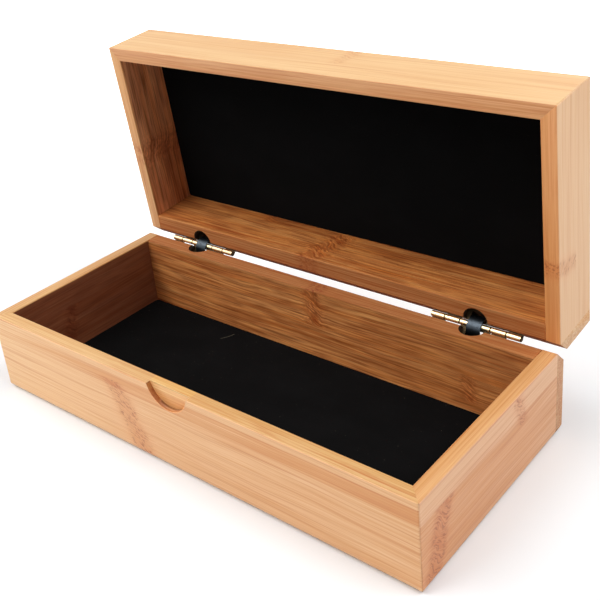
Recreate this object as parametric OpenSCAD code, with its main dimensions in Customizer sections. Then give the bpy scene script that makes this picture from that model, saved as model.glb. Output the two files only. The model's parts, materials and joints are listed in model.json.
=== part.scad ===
// Bamboo wine box: a shallow tray and a deep lid on two spring hinges, shown standing open.
// X runs along the length, Y from the front to the back, Z up from the underside of the tray.
// Every board, panel, lining and hinge piece is a separate solid.

/* [Box] */
// Length of the box over its end boards
box_w = 330; // [280:5:400]
// Depth of the box from its front face to its back face
box_d = 152; // [130:2:200]
// Height of the tray from the underside to its rim
tray_h = 56; // [48:1:80]
// Height of the lid from its rim to its top
lid_h = 40; // [34:1:60]
// Thickness of the front and end boards
board_t = 9; // [8:0.5:12]
// Flat width of the rim along the back, up to the chamfer
back_rim = 11; // [10:0.5:14]
// Chamfer that runs the full length of both back edges
chamfer = 9; // [8:0.5:11]
// Radius of the rounded lower edges along the front and the ends of the tray
foot_r = 4.2; // [2:0.1:4.6]
// Radius of the rounded lower edge along the back of the tray
heel_r = 7.5; // [3:0.5:8]
// Radius of the rounded outer edges of the lid's top
top_r = 1.5; // [0.5:0.1:3]
// Radius of the four upright corner edges
corner_r = 1.2; // [0.5:0.1:2.5]

/* [Panels] */
// Thickness of the bottom panel of the tray, flush with the underside
bottom_t = 5; // [3:0.5:7]
// Thickness of the top panel of the lid, flush with the top
top_t = 4; // [3:0.5:6]
// How far the panels reach into the rabbets of the boards
rabbet = 4; // [3:0.5:5]
// Room left round each panel for the wood to swell
panel_gap = 0.2; // [0.1:0.1:0.5]
// Thickness of the velvet-covered card in the tray and in the lid
lining_t = 1; // [0.8:0.1:2]
// Gap between a lining and the walls round it
lining_gap = 0.3; // [0.2:0.1:1]

/* [Thumb notch] */
// Radius of the half-moon notch in the front board
notch_r = 16.2; // [13:0.2:20]
// Depth of the notch below the rim
notch_drop = 13; // [9:0.5:13]
// How far the notch is cut into the front face
notch_depth = 3.5; // [2:0.5:5]

/* [Hinges] */
// Distance of the middle of each hinge from its end of the box
hinge_inset = 53; // [45:1:80]
// Length of a hinge over its knuckles
hinge_l = 59; // [50:1:66]
// Distance of the pin axis behind the front edge of the chamfer
axis_back = 4; // [3.6:0.1:4.4]
// Outer diameter of the knuckles
barrel_d = 3.8; // [3.4:0.1:4.2]
// Diameter of the hinge pin
pin_d = 2.2; // [1.8:0.1:2.4]
// Running clearance between a knuckle and the pin, on the radius
pin_gap = 0.05; // [0.02:0.01:0.08]
// Diameter of the peened heads of the pin
pin_head_d = 3.1; // [2.8:0.1:3.4]
// Thickness of the peened heads of the pin
pin_head_t = 0.4; // [0.3:0.1:0.8]
// Length of each outermost knuckle
end_knuckle_l = 9.2; // [7:0.1:11]
// Length of the middle knuckle under the spring
middle_knuckle_l = 19.6; // [17:0.1:22]
// Gap between two outer knuckles
knuckle_gap = 0.2; // [0.1:0.05:0.3]
// Gap on each side of the middle knuckle
middle_gap = 0.6; // [0.3:0.1:1]
// Thickness of the hinge leaves
leaf_t = 0.8; // [0.6:0.1:1]
// How far the outside of a leaf lies inside the outside of its knuckles
leaf_inset = 0.1; // [0.05:0.05:0.2]
// How much narrower a leaf's tab is than its knuckle, on each side
tab_inset = 0.1; // [0.05:0.05:0.3]
// How far a leaf reaches from the pin axis into its kerf
leaf_reach = 12; // [10.5:0.5:14]
// Clearance round a leaf in its saw kerf
kerf_gap = 0.1; // [0.05:0.05:0.2]
// How far the lid stands open from its closed position
open_angle = 85; // [60:1:95]

/* [Hinge springs] */
// Width of the spring strap along the pin
spring_w = 9.3; // [7:0.1:10]
// Thickness of the spring strap
spring_t = 0.6; // [0.4:0.1:0.8]
// Inner radius of the spring's bend
spring_r = 6.5; // [5.5:0.1:6.8]
// Half of the angle that the bend spans
spring_half = 65; // [55:1:70]
// Gap between the spring and the middle knuckle
spring_gap = 0.1; // [0.05:0.05:0.2]
// Room round the spring in the round pockets of the rims
pocket_gap = 0.8; // [0.4:0.1:1.5]
// Room between the ends of the spring and the floors of the pockets
pocket_floor_gap = 2; // [1:0.5:3]

/* [Hidden] */
$fn = 64;

BAMBOO_FACE = "#ebbe96";
BAMBOO_END = "#dbab80";
BAMBOO_PANEL = "#d9a978";
VELVET = "#101012";
BRASS = "#d9b45a";
SPRING_STEEL = "#3a4149";

over = 1;                           // how far a cutter runs past the face it cuts
back_t = back_rim + chamfer;        // full thickness of a back board
back_y = box_d / 2;                 // back face
lap_y = back_y - chamfer;           // the end boards stop here, where the chamfer starts
inner_back_y = back_y - back_t;     // inside face of a back board
inner_front_y = board_t - box_d / 2; // inside face of a front board
inner_x = box_w / 2 - board_t;      // inside face of an end board
axis_y = lap_y + axis_back;         // pin axis, level with the rims when the box is shut
hinge_x = box_w / 2 - hinge_inset;  // middle of a hinge

bore_r = pin_d / 2 + pin_gap;
barrel_r = barrel_d / 2;
kerf_angle = 45;                    // the kerfs enter square to the chamfers
inner_knuckle_l = (hinge_l - 2 * end_knuckle_l - middle_knuckle_l - 2 * knuckle_gap - 2 * middle_gap) / 2;
inner_knuckle_x = middle_knuckle_l / 2 + middle_gap;
end_knuckle_x = hinge_l / 2 - end_knuckle_l;
leaf_start = barrel_r + middle_gap; // a plate starts here, clear of the other leaf's knuckles

// The spring is a bent strap whose middle rests on the middle knuckle.
spring_centre = spring_r - barrel_r - spring_gap;
spring_end_back = spring_centre - (spring_r + spring_t) * cos(spring_half);
spring_end_side = (spring_r + spring_t) * sin(spring_half);
spring_reach = norm([spring_end_back, spring_end_side]);
pocket_r = norm([spring_w / 2, axis_back + spring_end_back]) + pocket_gap;
pocket_depth = spring_reach + pocket_floor_gap;
window_w = spring_w + 2 * pocket_gap;

// ---- Frames ----

// A half of the box is drawn with its outer face at z = 0 and its rim at z = h.
// in_lid() turns such a half over onto the tray and swings it open about the pin axis.
module in_lid() {
    translate([0, axis_y, tray_h])
        rotate([-open_angle, 0, 0])
            translate([0, -axis_y, lid_h])
                mirror([0, 0, 1])
                    children();
}

// ---- Boards ----

// What a quarter-round leaves to cut away at a corner at the origin
module corner_waste(r) {
    difference() {
        translate([-over, -over])
            square(r + over);
        translate([r, r])
            circle(r);
    }
}

// Outline of the closed box from above, with eased upright corners
module footprint() {
    difference() {
        square([box_w, box_d], center = true);
        for (x = [0, 1], y = [0, 1])
            mirror([x, 0])
                mirror([0, y])
                    translate([-box_w / 2, -box_d / 2])
                        corner_waste(corner_r);
    }
}

// Cross section of a front or end board: outer face at x = 0, rounded to r where it meets the outer face of the box
module board_section(h, r) {
    difference() {
        square([board_t, h]);
        corner_waste(r);
    }
}

// Cross section of a back board, as board_section() but thicker and with its rim chamfered
module back_section(h, r) {
    difference() {
        polygon([[0, 0], [back_t, 0], [back_t, h], [chamfer, h], [0, h - chamfer]]);
        corner_waste(r);
    }
}

// Rabbet for a panel whose inner face is at z = depth
module panel_rabbet(depth) {
    translate([-inner_x - rabbet, inner_front_y - rabbet, -over])
        cube([2 * (inner_x + rabbet), inner_back_y - inner_front_y + 2 * rabbet, depth + over]);
}

// Front board, mitred at both ends
module front_board(h, rabbet_depth, r) {
    mitre = over + board_t;
    difference() {
        intersection() {
            translate([-box_w / 2, -box_d / 2, 0])
                rotate([90, 0, 90])
                    linear_extrude(box_w)
                        board_section(h, r);
            linear_extrude(h)
                intersection() {
                    footprint();
                    polygon([
                        [-box_w / 2 - over, -box_d / 2 - over], [box_w / 2 + over, -box_d / 2 - over],
                        [box_w / 2 + over - mitre, -box_d / 2 - over + mitre],
                        [-box_w / 2 - over + mitre, -box_d / 2 - over + mitre]
                    ]);
                }
        }
        panel_rabbet(rabbet_depth);
    }
}

// Right-hand end board, mitred at the front and butted into the back board
module end_board(h, rabbet_depth, r) {
    difference() {
        intersection() {
            translate([box_w / 2, lap_y, 0])
                rotate([90, 0, 0])
                    mirror([1, 0, 0])
                        linear_extrude(box_d - chamfer)
                            board_section(h, r);
            linear_extrude(h)
                intersection() {
                    footprint();
                    polygon([
                        [box_w / 2 + over, -box_d / 2 - over], [box_w / 2 + over, lap_y],
                        [inner_x, lap_y], [inner_x, inner_front_y]
                    ]);
                }
        }
        panel_rabbet(rabbet_depth);
    }
}

// Back board: rabbeted ends lap the end boards, a full-length chamfer, kerfs and pockets for the hinges
module back_board(h, rabbet_depth, r, back_r) {
    difference() {
        intersection() {
            translate([-box_w / 2, back_y, 0])
                rotate([90, 0, 90])
                    mirror([1, 0, 0])
                        linear_extrude(box_w)
                            back_section(h, back_r);
            linear_extrude(h)
                footprint();
            translate([0, back_y, 0])
                rotate([90, 0, 0])
                    linear_extrude(back_t)
                        end_outline(h, r);
        }
        for (side = [-1, 1])
            translate([side * (inner_x + board_t / 2 + over / 2), lap_y - back_t, h / 2])
                cube([board_t + over, 2 * back_t, h + 2 * over], center = true);
        panel_rabbet(rabbet_depth);
        for (side = [-1, 1])
            translate([side * hinge_x, axis_y, h])
                hinge_cuts();
    }
}

// Outline of the whole box half from behind, rounded along both lower edges
module end_outline(h, r) {
    difference() {
        translate([-box_w / 2, 0])
            square([box_w, h]);
        for (side = [0, 1])
            mirror([side, 0])
                translate([-box_w / 2, 0])
                    corner_waste(r);
    }
}

// Half-moon notch in the front face, open at the rim
module thumb_notch() {
    translate([0, -box_d / 2 - over, tray_h + notch_r - notch_drop])
        rotate([-90, 0, 0])
            cylinder(r = notch_r, h = notch_depth + over);
}

// Panel in the rabbets of the boards, its outer face flush with theirs at z = 0
module panel(t) {
    reach = rabbet - panel_gap;
    translate([-inner_x - reach, inner_front_y - reach, 0])
        cube([2 * (inner_x + reach), inner_back_y - inner_front_y + 2 * reach, t]);
}

// Velvet-covered card on the inner face of a panel
module lining(z) {
    translate([-inner_x + lining_gap, inner_front_y + lining_gap, z])
        cube([
            2 * (inner_x - lining_gap),
            inner_back_y - inner_front_y - 2 * lining_gap,
            lining_t
        ]);
}

// ---- Hinges, drawn about their pin axis along X ----

// Flat layer of a leaf's thickness plus the margin on each side, turned square to the chamfer
module leaf_layer(margin) {
    rotate([kerf_angle, 0, 0])
        translate([0, 0, leaf_inset - barrel_r - margin])
            linear_extrude(leaf_t + 2 * margin)
                children();
}

// Kerf for a leaf and round pocket for the spring
module hinge_cuts() {
    leaf_layer(kerf_gap)
        translate([-hinge_l / 2 - kerf_gap, -leaf_reach - kerf_gap])
            square([hinge_l + 2 * kerf_gap, leaf_reach + kerf_gap]);
    translate([0, -axis_back, -pocket_depth])
        cylinder(r = pocket_r, h = pocket_depth + over);
}

// Flat plate of a leaf with a tab up to each knuckle and a window where the spring passes
module plate(places) {
    leaf_layer(0)
        difference() {
            union() {
                translate([tab_inset - hinge_l / 2, -leaf_reach])
                    square([hinge_l - 2 * tab_inset, leaf_reach - leaf_start]);
                for (p = places)
                    translate([p[0] + tab_inset, -leaf_reach])
                        square([p[1] - 2 * tab_inset, leaf_reach]);
            }
            translate([-window_w / 2, -spring_reach - pocket_gap])
                square([window_w, spring_reach + pocket_gap + over]);
        }
}

// A leaf with the knuckles at the given [start, length] places
module leaf(places) {
    difference() {
        union() {
            plate(places);
            for (p = places)
                translate([p[0], 0, 0])
                    rotate([0, 90, 0])
                        cylinder(r = barrel_r, h = p[1]);
        }
        rotate([0, 90, 0])
            cylinder(r = bore_r, h = hinge_l + over, center = true);
    }
}

// The lower leaf has the left end knuckle, the middle one and the right inner one
module lower_leaf() {
    leaf([
        [-hinge_l / 2, end_knuckle_l],
        [-middle_knuckle_l / 2, middle_knuckle_l],
        [inner_knuckle_x, inner_knuckle_l]
    ]);
}

// The upper leaf has the left inner knuckle and the right end one
module upper_leaf() {
    leaf([
        [-inner_knuckle_x - inner_knuckle_l, inner_knuckle_l],
        [end_knuckle_x, end_knuckle_l]
    ]);
}

// Pin with a peened head just clear of each end knuckle
module pin() {
    rotate([0, 90, 0]) {
        cylinder(r = pin_d / 2, h = hinge_l + 2 * (pin_gap + pin_head_t), center = true);
        for (side = [-1, 1])
            translate([0, 0, side * (hinge_l / 2 + pin_gap + pin_head_t / 2)])
                cylinder(r = pin_head_d / 2, h = pin_head_t, center = true);
    }
}

// Bent strap of spring steel, facing halfway between the two rims
module spring() {
    wedge = 2 * (spring_r + spring_t);
    rotate([180 - open_angle / 2, 0, 0])
        translate([-spring_w / 2, -spring_centre, 0])
            rotate([90, 0, 90])
                linear_extrude(spring_w)
                    intersection() {
                        difference() {
                            circle(spring_r + spring_t);
                            circle(spring_r);
                        }
                        polygon([
                            [0, 0],
                            wedge * [cos(spring_half), sin(spring_half)],
                            [wedge, 0],
                            wedge * [cos(spring_half), -sin(spring_half)]
                        ]);
                    }
}

// ---- Pieces of the tray ----

module base_front_board() {
    color(BAMBOO_FACE)
        difference() {
            front_board(tray_h, bottom_t, foot_r);
            thumb_notch();
        }
}

module base_back_board() {
    color(BAMBOO_FACE)
        back_board(tray_h, bottom_t, foot_r, heel_r);
}

module base_right_board() {
    color(BAMBOO_END)
        end_board(tray_h, bottom_t, foot_r);
}

module base_left_board() {
    color(BAMBOO_END)
        mirror([1, 0, 0])
            end_board(tray_h, bottom_t, foot_r);
}

module base_bottom_panel() {
    color(BAMBOO_PANEL)
        panel(bottom_t);
}

module base_lining() {
    color(VELVET)
        lining(bottom_t);
}

// ---- Pieces of the lid ----

module lid_front_board() {
    color(BAMBOO_FACE)
        in_lid()
            front_board(lid_h, top_t, top_r);
}

module lid_back_board() {
    color(BAMBOO_FACE)
        in_lid()
            back_board(lid_h, top_t, top_r, top_r);
}

module lid_right_board() {
    color(BAMBOO_END)
        in_lid()
            end_board(lid_h, top_t, top_r);
}

module lid_left_board() {
    color(BAMBOO_END)
        in_lid()
            mirror([1, 0, 0])
                end_board(lid_h, top_t, top_r);
}

module lid_top_panel() {
    color(BAMBOO_PANEL)
        in_lid()
            panel(top_t);
}

module lid_lining() {
    color(VELVET)
        in_lid()
            lining(top_t);
}

// ---- Pieces of the hinges ----

// side is -1 for the left hinge and 1 for the right one
module at_hinge(side) {
    translate([side * hinge_x, axis_y, tray_h])
        children();
}

module hinge_lower_leaf(side) {
    color(BRASS)
        at_hinge(side)
            lower_leaf();
}

module hinge_upper_leaf(side) {
    color(BRASS)
        in_lid()
            translate([side * hinge_x, axis_y, lid_h])
                upper_leaf();
}

module hinge_pin(side) {
    color(BRASS)
        at_hinge(side)
            pin();
}

module hinge_spring(side) {
    color(SPRING_STEEL)
        at_hinge(side)
            spring();
}

base_front_board();
base_back_board();
base_left_board();
base_right_board();
base_bottom_panel();
base_lining();
lid_front_board();
lid_back_board();
lid_left_board();
lid_right_board();
lid_top_panel();
lid_lining();
hinge_lower_leaf(-1);  // left_hinge_lower_leaf
hinge_upper_leaf(-1);  // left_hinge_upper_leaf
hinge_pin(-1);  // left_hinge_pin
hinge_spring(-1);  // left_hinge_spring
hinge_lower_leaf(1);  // right_hinge_lower_leaf
hinge_upper_leaf(1);  // right_hinge_upper_leaf
hinge_pin(1);  // right_hinge_pin
hinge_spring(1);  // right_hinge_spring
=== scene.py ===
"""Bamboo wine box: a shallow tray and a deep lid on two spring hinges, shown standing open.

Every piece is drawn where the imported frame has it. Lengths in this file are in metres unless a name ends in
_MM, and the wood's pattern is laid out in millimetres on the shut box, so that it runs on from tray to lid.
"""

import json
import math
import random

import bmesh
import bpy
from mathutils import Euler, Matrix, Vector


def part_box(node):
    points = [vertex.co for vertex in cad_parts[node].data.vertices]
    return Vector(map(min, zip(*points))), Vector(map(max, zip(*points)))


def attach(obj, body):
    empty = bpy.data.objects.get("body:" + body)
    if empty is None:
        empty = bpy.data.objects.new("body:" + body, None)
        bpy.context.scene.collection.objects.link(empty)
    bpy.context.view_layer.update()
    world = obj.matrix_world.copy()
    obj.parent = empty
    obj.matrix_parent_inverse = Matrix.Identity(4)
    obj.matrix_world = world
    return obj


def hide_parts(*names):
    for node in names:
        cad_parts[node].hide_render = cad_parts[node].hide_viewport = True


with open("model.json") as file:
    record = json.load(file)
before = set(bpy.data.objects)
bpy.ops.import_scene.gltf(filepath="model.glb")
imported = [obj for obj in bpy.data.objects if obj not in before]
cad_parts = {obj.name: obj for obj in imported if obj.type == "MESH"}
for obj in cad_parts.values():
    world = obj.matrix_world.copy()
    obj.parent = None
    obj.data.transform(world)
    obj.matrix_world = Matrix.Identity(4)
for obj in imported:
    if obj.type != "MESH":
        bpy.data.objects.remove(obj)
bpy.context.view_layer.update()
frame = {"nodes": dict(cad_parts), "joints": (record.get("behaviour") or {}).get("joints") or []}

bl_info = {
    "name": "Bamboo wine box",
    "version": (1, 0, 0),
    "blender": (4, 5, 0),
    "location": "View3D > Sidebar > Wine box",
    "description": "Dresses the wine box's frame with bamboo, velvet, brass and spring steel",
    "category": "Object",
}

MM = 0.001

# ---- Sizes that come from the frame ----

LID_HINGE = next(joint for joint in frame["joints"] if joint["name"] == "lid_hinge")
AXIS = Vector(LID_HINGE["pos_m"])
OPEN_ANGLE = math.radians(LID_HINGE["range_deg"][1])
TRAY_LOW, TRAY_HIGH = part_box("base_front_board")
RIGHT_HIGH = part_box("base_right_board")[1]
HALF_LENGTH = RIGHT_HIGH.x
FRONT_Y = TRAY_LOW.y
BACK_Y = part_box("base_back_board")[1].y
RIM_Z = TRAY_HIGH.z
LAP_Y = RIGHT_HIGH.y
CHAMFER = BACK_Y - LAP_Y

HINGE_LOW, HINGE_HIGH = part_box("right_hinge_pin")
HINGE_X = (HINGE_LOW.x + HINGE_HIGH.x) / 2
POCKET_R = 8.0 * MM
POCKET_DEEP = 8.6 * MM

# Turns the open lid down onto the tray, where its pattern is laid out
SHUT = Matrix.Translation(AXIS) @ Matrix.Rotation(OPEN_ANGLE, 4, "X") @ Matrix.Translation(-AXIS)
SHUT_SHIFT = SHUT.to_translation()
LID_TOP_Z = max((SHUT @ v.co).z for v in frame["nodes"]["lid_front_board"].data.vertices)


def srgb(red, green, blue):
    """A colour given as screen values from 0 to 255, as the linear colour that a shader takes."""
    def linear(value):
        value /= 255
        return value / 12.92 if value <= 0.04045 else ((value + 0.055) / 1.055) ** 2.4
    return (linear(red), linear(green), linear(blue), 1.0)


# ---- What a user may change ----

def length_property(name, description, default, low, high):
    """A length that a user may change. Its default and limits are given in millimetres."""
    return bpy.props.FloatProperty(
        name=name, description=description, default=default * MM, min=low * MM, max=high * MM,
        unit="LENGTH", precision=5)


def colour_property(name, description, default):
    """A colour that a user may change."""
    return bpy.props.FloatVectorProperty(
        name=name, description=description, subtype="COLOR", size=4, min=0, max=1, default=default)


class WineBoxSizes(bpy.types.PropertyGroup):
    """Sizes of the finishing work on the box"""

    rim_ease: length_property("Rim ease", "Rounding of the long edges of the rims", 0.55, 0.1, 1.2)
    seam_ease: length_property(
        "Seam ease", "Rounding of the edges along the mitres and joints", 0.07, 0.02, 0.4)
    notch_ease: length_property(
        "Notch ease", "Rounding of the thumb notch and of the rim that it cuts", 0.45, 0.05, 0.6)
    chamfer_ease: length_property(
        "Chamfer ease", "Rounding where the long chamfers meet the back", 1.0, 0.1, 1.1)
    velvet_corner: length_property("Velvet corner", "Corner radius of the velvet linings", 2.0, 0.5, 5)
    velvet_waver: length_property(
        "Velvet waver", "How far the cut edge of the velvet strays from a straight line", 0.22, 0.0, 0.4)
    sheet_t: length_property(
        "Hinge sheet", "Thickness of the brass sheet that the knuckles are rolled from", 0.72, 0.4, 0.75)
    roll_gap: length_property(
        "Roll gap", "Gap between the end of a rolled knuckle and its leaf", 0.12, 0.05, 0.4)


class WineBoxColours(bpy.types.PropertyGroup):
    """Colours of the box's materials"""

    pale: colour_property("Pale bamboo", "Colour of the palest strips", srgb(241, 198, 154))
    amber: colour_property("Amber bamboo", "Colour of the warmer strips and fibres", srgb(223, 158, 102))
    russet: colour_property(
        "Russet fibres", "Colour of the reddest fibres and glue lines", srgb(206, 126, 76))
    fleck: colour_property("Node flecks", "Colour of the dark dashes at a bamboo node", srgb(166, 82, 44))
    velvet: colour_property("Velvet", "Colour of the linings", (0.0015, 0.0015, 0.0016, 1.0))
    brass: colour_property("Brass", "Colour of the hinge leaves and pins", (0.88, 0.70, 0.40, 1.0))
    steel: colour_property(
        "Spring steel", "Colour of the blackened hinge springs", (0.050, 0.060, 0.070, 1.0))


# ---- Node building ----

WHITE = (1.0, 1.0, 1.0, 1.0)


def add_node(tree, kind, settings=None, inputs=None):
    """Adds a node. Its settings are set first, then each input is given a value or linked to an output."""
    node = tree.nodes.new(kind)
    for key, setting in (settings or {}).items():
        setattr(node, key, setting)
    for key, value in (inputs or {}).items():
        if isinstance(value, bpy.types.NodeSocket):
            tree.links.new(value, node.inputs[key])
        else:
            node.inputs[key].default_value = value
    return node


class Value:
    """A number or colour that varies over a surface. Arithmetic on a number adds Math nodes."""

    def __init__(self, shader, socket):
        self.shader = shader
        self.socket = socket

    def _math(self, operation, *operands):
        return self.shader.node(
            "ShaderNodeMath", {"operation": operation}, dict(enumerate(operands)))

    def __add__(self, other):
        return self._math("ADD", self, other)

    def __radd__(self, other):
        return self._math("ADD", other, self)

    def __sub__(self, other):
        return self._math("SUBTRACT", self, other)

    def __rsub__(self, other):
        return self._math("SUBTRACT", other, self)

    def __mul__(self, other):
        return self._math("MULTIPLY", self, other)

    def __rmul__(self, other):
        return self._math("MULTIPLY", other, self)

    def __truediv__(self, other):
        return self._math("DIVIDE", self, other)

    def __rtruediv__(self, other):
        return self._math("DIVIDE", other, self)

    def __abs__(self):
        return self._math("ABSOLUTE", self)

    def least(self, other):
        return self._math("MINIMUM", self, other)

    def most(self, other):
        return self._math("MAXIMUM", self, other)

    def above(self, edge):
        """1 where the value is above edge, otherwise 0."""
        return self._math("GREATER_THAN", self, edge)

    def ramp(self, low, high, start=0.0, end=1.0):
        """Goes smoothly from start at low to end at high."""
        return self.shader.node(
            "ShaderNodeMapRange", {"interpolation_type": "SMOOTHSTEP"},
            {"Value": self, "From Min": low, "From Max": high, "To Min": start, "To Max": end})

    def near(self, middle, half_width):
        """1 at middle, falling to 0 at half_width from it."""
        return abs(self - middle).ramp(0.0, half_width, 1.0, 0.0)

    def tinted(self, factor, tint):
        """This colour, multiplied by a tint where factor is 1."""
        return self.shader.blend(factor, self, (*tint, 1.0), "MULTIPLY")


class Shader:
    """Builds one material's node tree."""

    def __init__(self, name):
        self.material = bpy.data.materials.new(name)
        self.material.use_nodes = True
        self.tree = self.material.node_tree
        self.tree.nodes.clear()

    def node(self, kind, settings=None, inputs=None, output=0):
        """Adds a node to the material and gives one of its outputs."""
        sockets = {
            key: value.socket if isinstance(value, Value) else value for key, value in (inputs or {}).items()}
        return Value(self, add_node(self.tree, kind, settings, sockets).outputs[output])

    def noise(self, place, detail=2.0, roughness=0.5):
        """Noise at a place, given as x, y and z in lengths of one grain of the noise."""
        x, y, z = place
        vector = self.node("ShaderNodeCombineXYZ", None, {"X": x, "Y": y, "Z": z})
        return self.node(
            "ShaderNodeTexNoise", None,
            {"Vector": vector, "Scale": 1.0, "Detail": detail, "Roughness": roughness, "Distortion": 0.0})

    def blend(self, factor, first, second, mode="MIX"):
        """Mixes two colours by a factor."""
        return self.node(
            "ShaderNodeMix", {"data_type": "RGBA", "blend_type": mode},
            {0: factor, 6: first, 7: second}, output=2)

    def finish(self, fixed, varying):
        """Ends the tree in a Principled shader: fixed values are set on it, varying ones are linked."""
        links = {key: value.socket for key, value in varying.items()}
        shader = add_node(self.tree, "ShaderNodeBsdfPrincipled", None, {**fixed, **links})
        add_node(self.tree, "ShaderNodeOutputMaterial", None, {"Surface": shader.outputs["BSDF"]})
        return self.material

    def bump(self, height, strength, distance):
        return self.node(
            "ShaderNodeBump", None, {"Strength": strength, "Distance": distance, "Height": height})


def places_in_mm(shader, on_lid):
    """The x, y and z of a surface point in millimetres, on the shut box."""
    point = shader.node("ShaderNodeTexCoord", output="Object")
    if on_lid:
        point = shader.node(
            "ShaderNodeMapping", {"vector_type": "POINT"},
            {"Vector": point, "Location": SHUT_SHIFT, "Rotation": Euler((OPEN_ANGLE, 0, 0))})
    point = shader.node(
        "ShaderNodeVectorMath", {"operation": "SCALE"}, {"Vector": point, "Scale": 1 / MM})
    parts = add_node(shader.tree, "ShaderNodeSeparateXYZ", None, {"Vector": point.socket})
    return [Value(shader, parts.outputs[axis]) for axis in "XYZ"]


# How each side of the box lies: how far along the grain, up the board and in from its outer face a point is
SIDES = {
    "front": lambda x, y, z: (x, z, y - FRONT_Y / MM),
    "back": lambda x, y, z: (x, z, BACK_Y / MM - y),
    "right": lambda x, y, z: (y, z, HALF_LENGTH / MM - x),
    "left": lambda x, y, z: (y, z, x + HALF_LENGTH / MM),
    "bottom": lambda x, y, z: (x, y, z),
    "top": lambda x, y, z: (x, y, LID_TOP_Z / MM - z),
}


# The thickness in mm of the standing boards on each side of the box
THICK_MM = {"front": 9.0, "back": 20.0, "right": 9.0, "left": 9.0}

# The thumb notch: half its width and its depth below the rim with a little room, and where its floor begins
NOTCH_HALF_MM = 16.4
NOTCH_DOWN_MM = 13.2
NOTCH_FLOOR_MM = (3.2, 3.45)


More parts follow.
